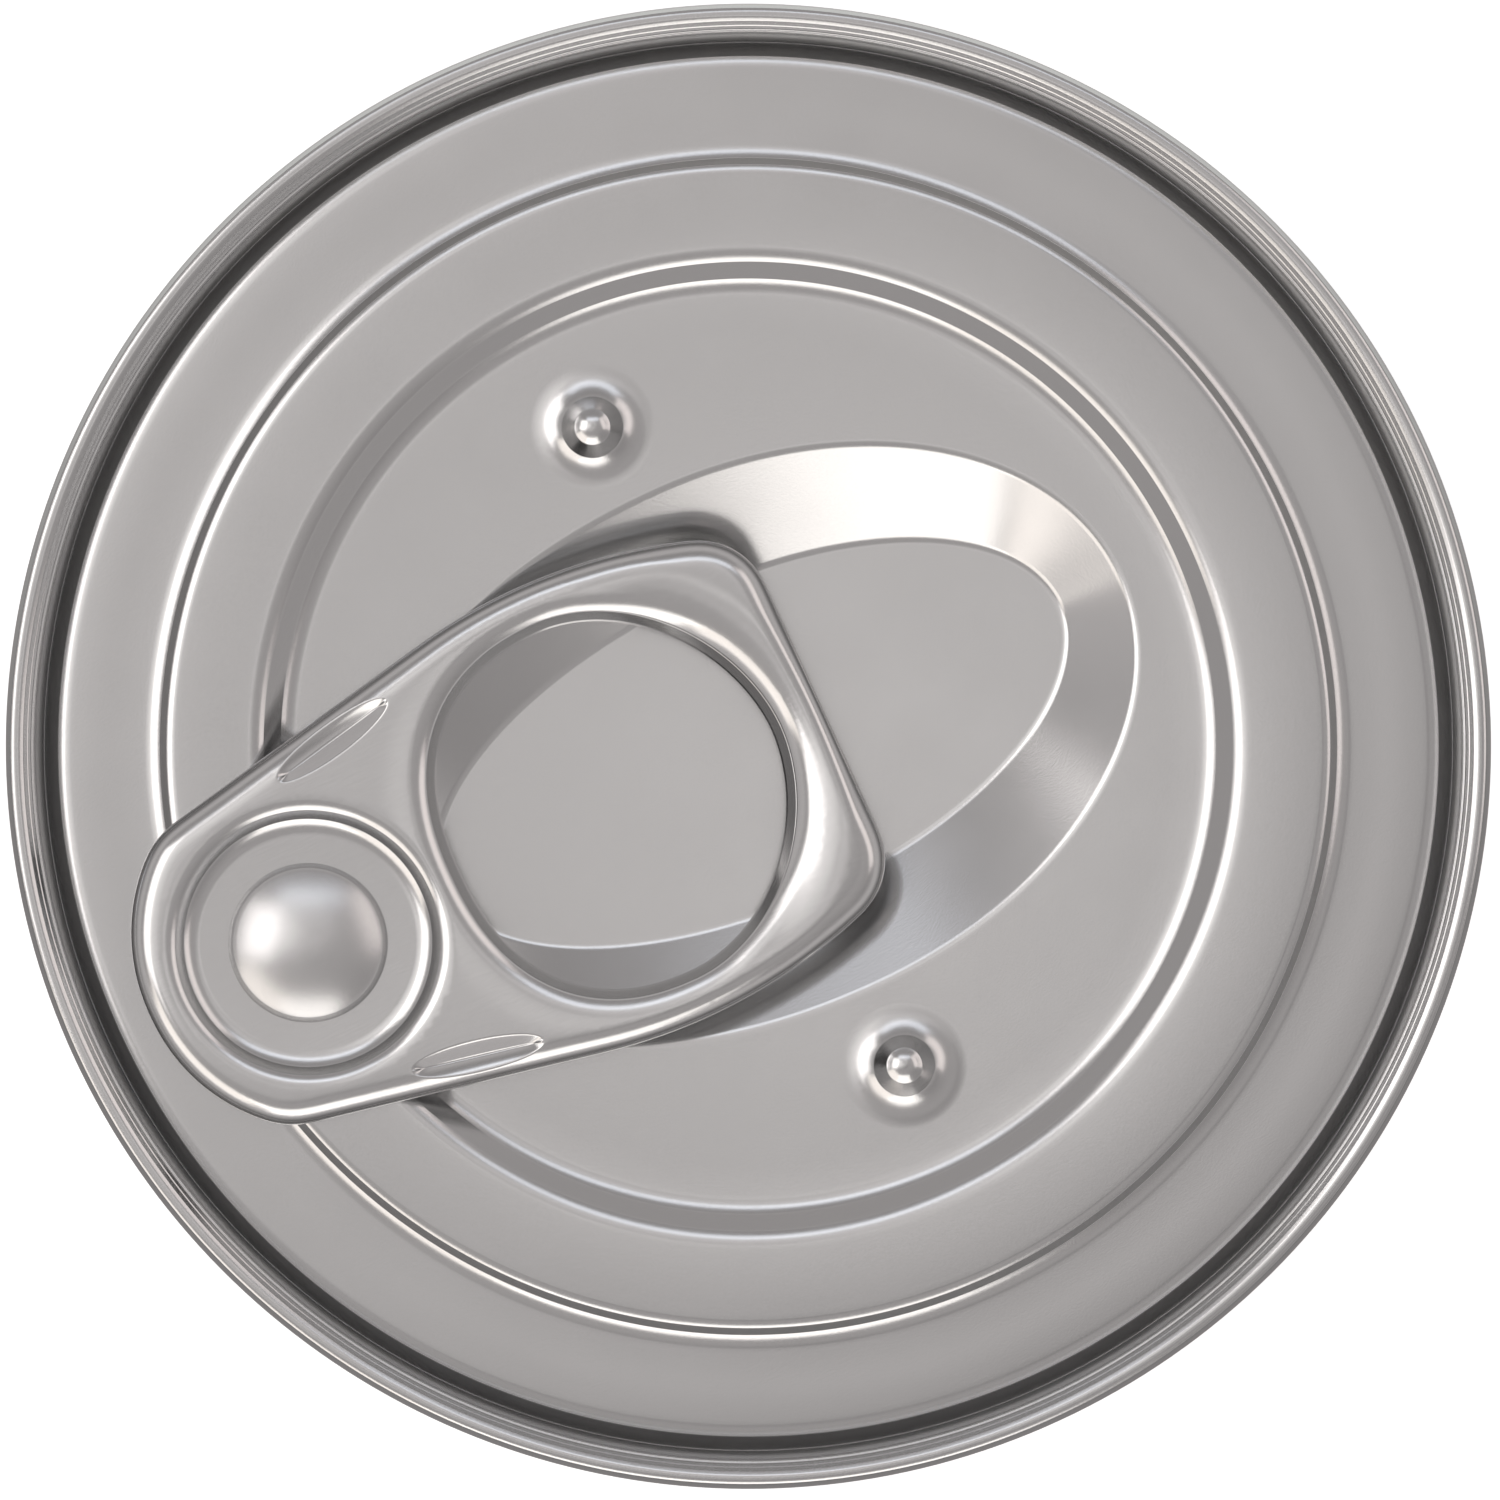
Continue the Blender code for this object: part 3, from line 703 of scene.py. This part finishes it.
class CAN_OT_pull_tab(bpy.types.Operator):
    """Make the pull tab: rolled edges, ring hole, sunk island and two stiffening grooves"""
    bl_idname = "food_can.pull_tab"
    bl_label = "Pull tab"
    bl_options = {"REGISTER", "UNDO"}

    def execute(self, context):
        settings = context.scene.food_can
        self.sizes = settings.tab
        finish = tab_steel(settings.finish)
        self.edge_z = (TAB_TOP + TAB_FOOT) / 2.0
        self.plate_z = TAB_TOP - TAB_UNDER
        upper = [(x, y + SIDE_PLAY, radius) for x, y, radius in TAB_CORNERS]
        lower = [(x, SIDE_PLAY - y, radius) for x, y, radius in reversed(TAB_CORNERS)]
        corners = list(reversed(upper + lower))
        fine = evenly_spaced(rounded_path(corners, 40, closed=True), 2000)
        outline = relaxed(evenly_spaced(fine, EDGE_SEGMENTS), 8)
        hole = evenly_spaced(oval(RING_HOLE_X, SIDE_PLAY, RING_HOLE, 1200), HOLE_SEGMENTS)
        self.near_edge = nearness(outline)
        self.near_hole = nearness(hole)

        solid = bmesh.new()
        top_outer, low_outer = self.outer_roll(solid, outline)
        top_hole, low_hole = self.hole_roll(solid, hole)
        top_island, low_island = self.island(solid)
        grooves = [self.stiffener(solid, side) for side in (1.0, -1.0)]
        self.web(solid, outline, hole, [top_outer, top_hole, top_island, *grooves])
        self.underside(solid, [low_outer, low_hole, low_island])
        bmesh.ops.remove_doubles(solid, verts=solid.verts[:], dist=MERGE_DISTANCE)
        finished("pull_tab_shell", solid, finish, ["pull_tab"], sharp=50.0)
        return {"FINISHED"}

    def hump(self, x, y):
        """How far the ring falls away from its hole, beyond the crest that runs round it."""
        beyond = max(0.0, self.near_hole.find((x, y, 0.0))[2] - CREST_DISTANCE)
        eased = beyond - CREST_EASE * (1.0 - math.exp(-beyond / CREST_EASE))
        return smooth(x, -15.0 * MM, -6.0 * MM) * self.sizes.crown * eased

    def surface(self, x, y, distance=None):
        """Height of the tab's top face at a point, whose distance from the edge may be known. The
        ring's outer end is dished towards its hole, so that a finger lies well in it."""
        if distance is None:
            distance = self.near_edge.find((x, y, 0.0))[2]
        to_hole = max(self.near_hole.find((x, y, 0.0))[2] - HOLE_SHOULDER, 0.0)
        to_island = max(math.dist((x, y), (RIVET_X, SIDE_PLAY)) - ISLAND_RIM_RADIUS, 0.0)
        crown = TAB_TOP - self.hump(x, y) - EDGE_DIP[1] * math.exp(-distance / EDGE_DIP[0])
        crown -= (smooth(x, RING_HOLE_X + 2.5 * MM, RING_HOLE_X + 8.5 * MM) * DISH_DEPTH
                  * max(1.0 - to_hole / DISH_REACH, 0.0) ** 1.7)
        for away, (length, drop) in ((to_hole, HOLE_BEND), (to_hole, HOLE_SWEEP),
                                     (to_island, ISLAND_RIM_BEND)):
            crown -= drop * max(1.0 - away / length, 0.0) ** 2
        share = max(1.0 - distance / self.sizes.roll_width, 0.0)
        edge = self.edge_height(x, y)
        return edge + (crown - edge) * math.sqrt(1.0 - share * share)

    def draped(self, points):
        """Points laid on the tab's top face."""
        return [(x, y, self.surface(x, y)) for x, y, *_ in points]

    def edge_height(self, x, y):
        """Height at which the rolled edge stands furthest out."""
        return self.edge_z - 0.45 * self.hump(x, y)

    def outer_roll(self, solid, outline):
        """The rolled outer edge: a wide soft rounding on top and a tight curl below."""
        width = self.sizes.roll_width
        start = math.acos(1.0 - ROLL_START / width)
        points = []
        steps = 14
        for step in range(steps):
            distance = width * (1.0 - math.cos(start * (1.0 - step / steps)))
            points.append([(x, y, self.surface(x, y, distance))
                           for x, y in inset(outline, distance)])
        for step in range(9):
            angle = math.pi / 2.0 * step / 8
            points.append([(x, y, self.edge_height(x, y)
                            - (self.edge_height(x, y) - TAB_FOOT) * math.sin(angle))
                           for x, y in inset(outline, 0.5 * MM * (1.0 - math.cos(angle)))])
        rings = rounded_path([(0.6 * MM, TAB_FOOT, 0.0),
                              (1.05 * MM, TAB_FOOT, 0.15 * MM),
                              (1.2 * MM, self.plate_z, 0.1 * MM),
                              (1.5 * MM, self.plate_z, 0.0)], 4)
        points += [[(x, y, z) for x, y in inset(outline, d)] for d, z in rings]
        first = new_loop(solid, points[0])
        return first, skin(solid, first, points[1:])

    def hole_roll(self, solid, hole):
        """The edge of the ring hole: a soft shoulder, a steep wall and a curl under it."""
        points = [self.draped(inset(hole, -distance * MM))
                  for distance in (1.2, 1.05, 0.92, 0.8, 0.7, 0.61, 0.55)]
        shoulder = TAB_TOP - HOLE_BEND[1] - HOLE_SWEEP[1]
        lip = TAB_TOP - 1.15 * MM
        corners = [(0.54 * MM, shoulder + 0.01 * MM, 0.0),
                   (HOLE_SHOULDER, shoulder, 0.09 * MM),
                   (0.10 * MM, TAB_TOP - 0.92 * MM, 0.25 * MM),
                   (0.0, lip, 0.06 * MM),
                   (0.2 * MM, TAB_FOOT, 0.12 * MM),
                   (0.8 * MM, TAB_FOOT, 0.15 * MM),
                   (1.1 * MM, self.plate_z, 0.1 * MM),
                   (1.4 * MM, self.plate_z, 0.0)]
        rim = self.draped(inset(hole, -HOLE_SHOULDER))
        for distance, z in rounded_path(corners, 10)[1:]:
            share = max(0.0, (z - lip) / (shoulder - lip)) if distance < 0.6 * MM else 0.0
            points.append([(x, y, z + share * (top - shoulder))
                           for (x, y), (_, _, top) in zip(inset(hole, -distance), rim)])
        first = new_loop(solid, points[0])
        return first, skin(solid, first, points[1:])

    def island(self, solid):
        """The sunk island: its steep rim, its floor and the hole for the rivet's shank."""
        centre = (RIVET_X, SIDE_PLAY)
        floor = TAB_TOP - self.sizes.island_depth
        under = floor - 0.55 * MM
        points = [self.draped(circle(radius * MM, 0.0, ISLAND_SEGMENTS, centre))
                  for radius in (7.35, 7.24, 7.14, 7.05, 6.96, 6.88)]
        shoulder = TAB_TOP - ISLAND_RIM_BEND[1]
        rim = self.draped(circle(ISLAND_RIM_RADIUS, 0.0, ISLAND_SEGMENTS, centre))
        corners = soft_step(ISLAND_RIM_RADIUS, TAB_TOP, ISLAND_FOOT_RADIUS, floor,
                            ISLAND_RIM_BEND, ISLAND_FOOT_BEND, 0.08 * MM)
        for radius, z in rounded_path(corners, 8):
            if radius < 6.85 * MM:
                share = max(0.0, min(1.0, (z - floor) / (shoulder - floor)))
                ring = circle(radius, z, ISLAND_SEGMENTS, centre)
                points.append([(x, y, z + share * (top - shoulder))
                               for (x, y, _), (_, _, top) in zip(ring, rim)])
        rings = [(2.03 * MM, floor), (2.03 * MM, under), (6.6 * MM, under),
                 (7.3 * MM, self.plate_z), (7.5 * MM, self.plate_z)]
        points += [circle(radius, z, ISLAND_SEGMENTS, centre) for radius, z in rings]
        first = new_loop(solid, points[0])
        return first, skin(solid, first, points[1:])

    def stiffener(self, solid, side):
        """One almond-shaped groove with two flat flanks and a fine rounding in its valley."""
        ease = 0.10
        valley = 0.12
        cosine, sine = math.cos(STIFFENER_TURN), side * math.sin(STIFFENER_TURN)
        marks = [-ease - 0.03] + [ease * (2.0 * step / 6 - 1.0) for step in range(7)]
        marks += [0.3, 0.55, 0.75, 0.84, 1.0 - valley, 0.92, 0.96, 1.0]
        rings = []
        for share in marks:
            down = share if share > ease else max(share + ease, 0.0) ** 2 / (4.0 * ease)
            down -= max(share - 1.0 + valley, 0.0) ** 2 / (2.0 * valley)
            ring = []
            for k in range(SMALL_SEGMENTS):
                angle = FULL_TURN * k / SMALL_SEGMENTS
                a = STIFFENER_HALF_LENGTH * math.cos(angle) * (1.0 - 0.12 * max(share, 0.0))
                b = STIFFENER_HALF_WIDTH * math.sin(angle) * (1.0 - share)
                if share < 0.0:
                    a *= 1.0 - share * STIFFENER_HALF_WIDTH / STIFFENER_HALF_LENGTH
                x = STIFFENER_CENTRE[0] + a * cosine - b * sine
                y = SIDE_PLAY + side * STIFFENER_CENTRE[1] + a * sine + b * cosine
                dip = self.sizes.groove_depth * abs(math.sin(angle)) ** 0.8
                ring.append((x, y, self.surface(x, y) - dip * down))
            rings.append(ring)
        first = new_loop(solid, rings[0])
        skin(solid, first, rings[1:])
        return first

    def web(self, solid, outline, hole, loops):
        """Fill the top face between the rolled edge, the hole, the island and the grooves."""
        spread = []
        for distance in (0.56, 0.68, 0.82, 0.98, 1.16, 1.38, 1.62, 1.8):
            spread += evenly_spaced(inset(outline, distance * MM), EDGE_SEGMENTS)
        for distance in (1.35, 1.55, 1.8, 2.1):
            spread += evenly_spaced(inset(hole, -distance * MM), HOLE_SEGMENTS)
        step = 0.45 * MM
        for row in range(64):
            for column in range(100):
                point = ((column + row % 2 / 2.0) * step - 36.0 * MM,
                         row * step * 0.866 - 12.6 * MM)
                if self.near_edge.find((*point, 0.0))[2] > 2.0 * MM:
                    spread.append(point)
        fill_between(solid, loops, spread, self.surface)

    def underside(self, solid, loops):
        """Fill the flat underside of the plate."""
        edges = [edge for loop in loops for edge in loop_edges(solid, loop)]
        bmesh.ops.triangle_fill(solid, use_beauty=True, use_dissolve=False, edges=edges)


def nearness(border):
    """A lookup of the distance from a point to a closed border."""
    points = evenly_spaced(border, 2000)
    tree = KDTree(len(points))
    for index, (x, y) in enumerate(points):
        tree.insert((x, y, 0.0), index)
    tree.balance()
    return tree


# ---------------------------------------------------------------- body and bottom end


def body_path(sizes):
    """The body wall's outer line from its top to its foot, with its rolled beads."""
    middle = CAN_TOP / 2.0
    half = sizes.bead_pitch * sizes.bead_count / 2.0
    top = CAN_TOP - sizes.seam_height + 0.06 * MM
    path = [(BODY_RADIUS, top), (BODY_RADIUS, middle + half + 0.1 * MM)]
    steps = BEAD_STEPS * sizes.bead_count
    for step in range(steps + 1):
        height = middle + half - 2.0 * half * step / steps
        wave = (1.0 - math.cos(FULL_TURN * step / BEAD_STEPS)) / 2.0
        path.append((BODY_RADIUS - sizes.bead_depth * wave ** 1.4, height))
    return path + [(BODY_RADIUS, middle - half - 0.1 * MM), (BODY_RADIUS, CAN_TOP - top)]


class CAN_OT_body(bpy.types.Operator):
    """Make the body: a thin tube with rolled beads, closed inside"""
    bl_idname = "food_can.body"
    bl_label = "Body"
    bl_options = {"REGISTER", "UNDO"}

    def execute(self, context):
        settings = context.scene.food_can
        finish = body_tinplate(settings.finish)
        outer = body_path(settings.can)
        inner_radius = BODY_RADIUS - settings.can.bead_depth - 0.3 * MM
        end_radius = BODY_RADIUS - 0.1 * MM
        solid = bmesh.new()
        top, foot = outer[0][1], outer[-1][1]
        path = outer + [(end_radius, foot), (end_radius, foot + 5.0 * MM),
                        (inner_radius, foot + 6.0 * MM), (inner_radius, top - 6.0 * MM),
                        (end_radius, top - 5.0 * MM), (end_radius, top), outer[0]]
        turn(solid, guarded(path), RIM_SEGMENTS)
        finished("body_wall", solid, finish, ["can_body"])
        return {"FINISHED"}


class CAN_OT_bottom_end(bpy.types.Operator):
    """Make the bottom end: the seam that the can stands on, and a panel with stepped rings"""
    bl_idname = "food_can.bottom_end"
    bl_label = "Bottom end"
    bl_options = {"REGISTER", "UNDO"}

    def execute(self, context):
        settings = context.scene.food_can
        finish = end_tinplate(settings.finish)
        panel = 3.5 * MM
        raised_panel = 4.0 * MM
        plug_radius = BODY_RADIUS - 0.2 * MM
        corners = [(0.0, PLUG_END, 0.0), (plug_radius, PLUG_END, 0.0),
                   (plug_radius, PLUG_START, 0.0)]
        corners += reversed(rim_corners(0.0, 1.0, panel))
        corners += [(radius * MM, height, 0.4 * MM) for radius, height in (
            (29.4, panel), (28.6, raised_panel), (22.4, raised_panel), (21.6, panel),
            (14.4, panel), (13.6, raised_panel))]
        corners.append((0.0, raised_panel, 0.0))
        solid = bmesh.new()
        turn(solid, guarded(rounded_path(corners, 8)), RIM_SEGMENTS)
        finished("bottom_end_sheet", solid, finish, ["bottom_end"])
        return {"FINISHED"}


# ---------------------------------------------------------------- the studio

CAMERA_DISTANCE = 2.0
VIEW_TURN = math.radians(24.75)
FIELD_WIDTH = 76.92 * MM
CAMERA_SHIFT = (0.082 * MM, -0.191 * MM)
FLOOR_RADIUS = 8.0
LIGHT_DISTANCE = 1.5

SKY_TINT = (1.05, 1.0, 0.99)
LOW_GLOW = (0.78, 0.78, 0.76)
GLOW_AZIMUTH = 65.0
FLOOR_GLOW = 0.75

# Height on the sky's sphere, from -1 straight down to 1 overhead, and the brightness there.
SKY = ((-1.0, 0.30), (-0.30, 0.26), (-0.02, 0.20), (0.10, 0.14), (0.31, 0.19), (0.38, 0.26),
       (0.50, 0.48), (0.65, 0.52), (0.72, 0.36), (0.77, 0.28), (0.81, 0.31), (0.91, 0.37),
       (0.974, 0.41), (0.990, 0.27), (1.0, 0.24))

# Name, azimuth and angle from overhead in degrees, width and height in degrees, brightness, tint.
SOFTBOXES = (
    ("west_key", 143.0, 27.5, 28.0, 18.0, 1.60, "#FFFAF8"),
    ("southwest_box", 199.0, 40.0, 31.0, 18.0, 1.10, "#FFF6ED"),
    ("south_box", 246.0, 40.0, 29.0, 19.0, 1.40, "#FFFAF5"),
    ("east_box", 356.0, 34.5, 34.0, 12.0, 0.80, "#FFF3EF"),
    ("north_box", 65.0, 25.0, 33.0, 9.0, 0.85, "#EEF4FF"),
)

# Name, azimuth and angle from overhead in degrees, distance, radius, brightness.
OVERHEADS = (
    ("near_overhead", 108.0, 11.5, 0.46, 0.15, 0.245),
    ("middle_overhead", 310.0, 1.2, 0.46, 0.022, 0.40),
    ("far_overhead", 135.0, 12.5, 2.0, 0.30, 0.35),
)


def toward(azimuth, polar):
    """The direction at an azimuth and an angle from overhead, both in degrees."""
    a, p = math.radians(azimuth), math.radians(polar)
    return Vector((math.cos(a) * math.sin(p), math.sin(a) * math.sin(p), math.cos(p)))


class CAN_OT_studio(bpy.types.Operator):
    """Make the pale floor, the soft lights and the camera above the can"""
    bl_idname = "food_can.studio"
    bl_label = "Studio"
    bl_options = {"REGISTER", "UNDO"}

    def execute(self, context):
        scene = context.scene
        self.floor(scene)
        self.sky(scene)
        for box in SOFTBOXES:
            self.softbox(scene, *box)
        self.overhead(scene)
        self.camera(scene)
        scene.view_settings.view_transform = "Standard"
        return {"FINISHED"}

    def floor(self, scene):
        """A wide table top. It glows a little, as a lit white sweep does, and isn't mirrored."""
        plate = bmesh.new()
        bmesh.ops.create_circle(plate, cap_ends=True, segments=64, radius=FLOOR_RADIUS)
        mesh = bpy.data.meshes.new("floor")
        plate.to_mesh(mesh)
        plate.free()
        floor = bpy.data.objects.new("floor", mesh)
        scene.collection.objects.link(floor)
        paint = bpy.data.materials.new("matt_white_table_top")
        paint.use_nodes = True
        shader = paint.node_tree.nodes["Principled BSDF"]
        white = rgba(scene.food_can.finish.floor)
        shader.inputs["Base Color"].default_value = white
        shader.inputs["Roughness"].default_value = 0.9
        shader.inputs["Emission Color"].default_value = white
        shader.inputs["Emission Strength"].default_value = FLOOR_GLOW
        mesh.materials.append(paint)
        floor.visible_glossy = False

    def sky(self, scene):
        """A grey tent: dim at the horizon and lighter overhead, with a glow low in the north."""
        world = bpy.data.worlds.new("studio_tent")
        world.use_nodes = True
        tree = world.node_tree
        way = add_node(tree, "ShaderNodeTexCoord").outputs["Object"]
        height = add_node(tree, "ShaderNodeSeparateXYZ", {"Vector": way}).outputs["Z"]
        place = add_node(tree, "ShaderNodeMapRange", {"Value": height, "From Min": -1.0,
                                                      "From Max": 1.0}).outputs["Result"]
        ramp = add_node(tree, "ShaderNodeValToRGB", {"Fac": place})
        stops = ramp.color_ramp.elements
        while len(stops) < len(SKY):
            stops.new(0.5)
        for stop, (level, brightness) in zip(stops, SKY):
            stop.position = (level + 1.0) / 2.0
            stop.color = rgba(SKY_TINT, brightness)
        north = add_node(tree, "ShaderNodeVectorMath",
                         {0: way, 1: toward(GLOW_AZIMUTH, 90.0)}, operation="DOT_PRODUCT")
        lit = add_node(tree, "ShaderNodeMapRange", {"Value": north.outputs["Value"],
                                                    "From Min": -0.15, "From Max": 1.0},
                       interpolation_type="SMOOTHSTEP")
        low = add_node(tree, "ShaderNodeMapRange", {"Value": height, "From Min": 0.05,
                                                    "From Max": -0.10})
        share = add_node(tree, "ShaderNodeMath", {0: lit.outputs["Result"],
                                                  1: low.outputs["Result"]},
                         operation="MULTIPLY")
        blend = add_node(tree, "ShaderNodeMix", {
            0: share.outputs["Value"], 6: ramp.outputs["Color"], 7: rgba(LOW_GLOW)},
            data_type="RGBA")
        tree.links.new(blend.outputs[2], tree.nodes["Background"].inputs["Color"])
        scene.world = world

    def softbox(self, scene, name, azimuth, polar, width, height, brightness, tint):
        """One soft light, aimed at the top end, as wide and high as the angles it fills."""
        across, along = (2.0 * LIGHT_DISTANCE * math.tan(math.radians(angle / 2.0))
                         for angle in (width, height))
        away = toward(azimuth, polar)
        lamp = self.light(scene, name, "RECTANGLE", across, across * along, brightness, tint,
                          away * LIGHT_DISTANCE)
        lamp.data.size_y = along
        lamp.rotation_euler = away.to_track_quat("Z", "Y").to_euler()

    def overhead(self, scene):
        """Round soft lights above the can, which shade the flats from the middle outwards."""
        for name, azimuth, polar, distance, radius, brightness in OVERHEADS:
            self.light(scene, name, "DISK", 2.0 * radius, math.pi * radius ** 2, brightness,
                       "#FFFBF9", toward(azimuth, polar) * distance)

    def light(self, scene, name, shape, size, area, brightness, tint, place):
        """One even area light at a place over the top end, which the camera doesn't see."""
        light = bpy.data.lights.new(name, "AREA")
        light.shape = shape
        light.size = size
        light.energy = brightness * math.pi * area
        light.color = hex_colour(tint)
        lamp = bpy.data.objects.new(name, light)
        lamp.location = place + Vector((0.0, 0.0, CAN_TOP))
        lamp.visible_camera = False
        scene.collection.objects.link(lamp)
        return lamp

    def camera(self, scene):
        """A long lens looking straight down on the top end."""
        lens = bpy.data.cameras.new("camera")
        lens.sensor_width = 36.0
        lens.lens = 36.0 * CAMERA_DISTANCE / FIELD_WIDTH
        lens.clip_start = 0.1
        lens.clip_end = 20.0
        camera = bpy.data.objects.new("camera", lens)
        right = Vector((math.cos(VIEW_TURN), -math.sin(VIEW_TURN), 0.0))
        up = Vector((math.sin(VIEW_TURN), math.cos(VIEW_TURN), 0.0))
        camera.location = (right * CAMERA_SHIFT[0] + up * CAMERA_SHIFT[1]
                           + Vector((0.0, 0.0, CAN_TOP + CAMERA_DISTANCE)))
        camera.rotation_euler = (0.0, 0.0, -VIEW_TURN)
        scene.collection.objects.link(camera)
        scene.camera = camera


# ---------------------------------------------------------------- panel and registration


class CAN_PT_pieces(bpy.types.Panel):
    """The can's pieces, in the sidebar of the 3D view"""
    bl_idname = "CAN_PT_pieces"
    bl_label = "Food can"
    bl_space_type = "VIEW_3D"
    bl_region_type = "UI"
    bl_category = "Food can"

    def draw(self, context):
        settings = context.scene.food_can
        for operator in PIECE_OPERATORS:
            self.layout.operator(operator.bl_idname)
        for group in (settings.can, settings.tab, settings.finish):
            box = self.layout.box()
            for name in group.__annotations__:
                box.prop(group, name)


PIECE_OPERATORS = (CAN_OT_body, CAN_OT_bottom_end, CAN_OT_top_end, CAN_OT_rivet, CAN_OT_pull_tab,
                   CAN_OT_studio)
CLASSES = (CanSizes, TabSizes, Finishes, CanSettings, *PIECE_OPERATORS, CAN_PT_pieces)


def register():
    """Register the settings, the operators and the panel."""
    for kind in CLASSES:
        bpy.utils.register_class(kind)
    bpy.types.Scene.food_can = bpy.props.PointerProperty(type=CanSettings)


def unregister():
    """Take the settings, the operators and the panel away again."""
    del bpy.types.Scene.food_can
    for kind in reversed(CLASSES):
        bpy.utils.unregister_class(kind)


def main():
    """Make the can and its studio."""
    register()
    bpy.ops.food_can.body()
    bpy.ops.food_can.bottom_end()
    bpy.ops.food_can.top_end()
    bpy.ops.food_can.rivet()
    bpy.ops.food_can.pull_tab()
    bpy.ops.food_can.studio()


if __name__ == "__main__":
    main()
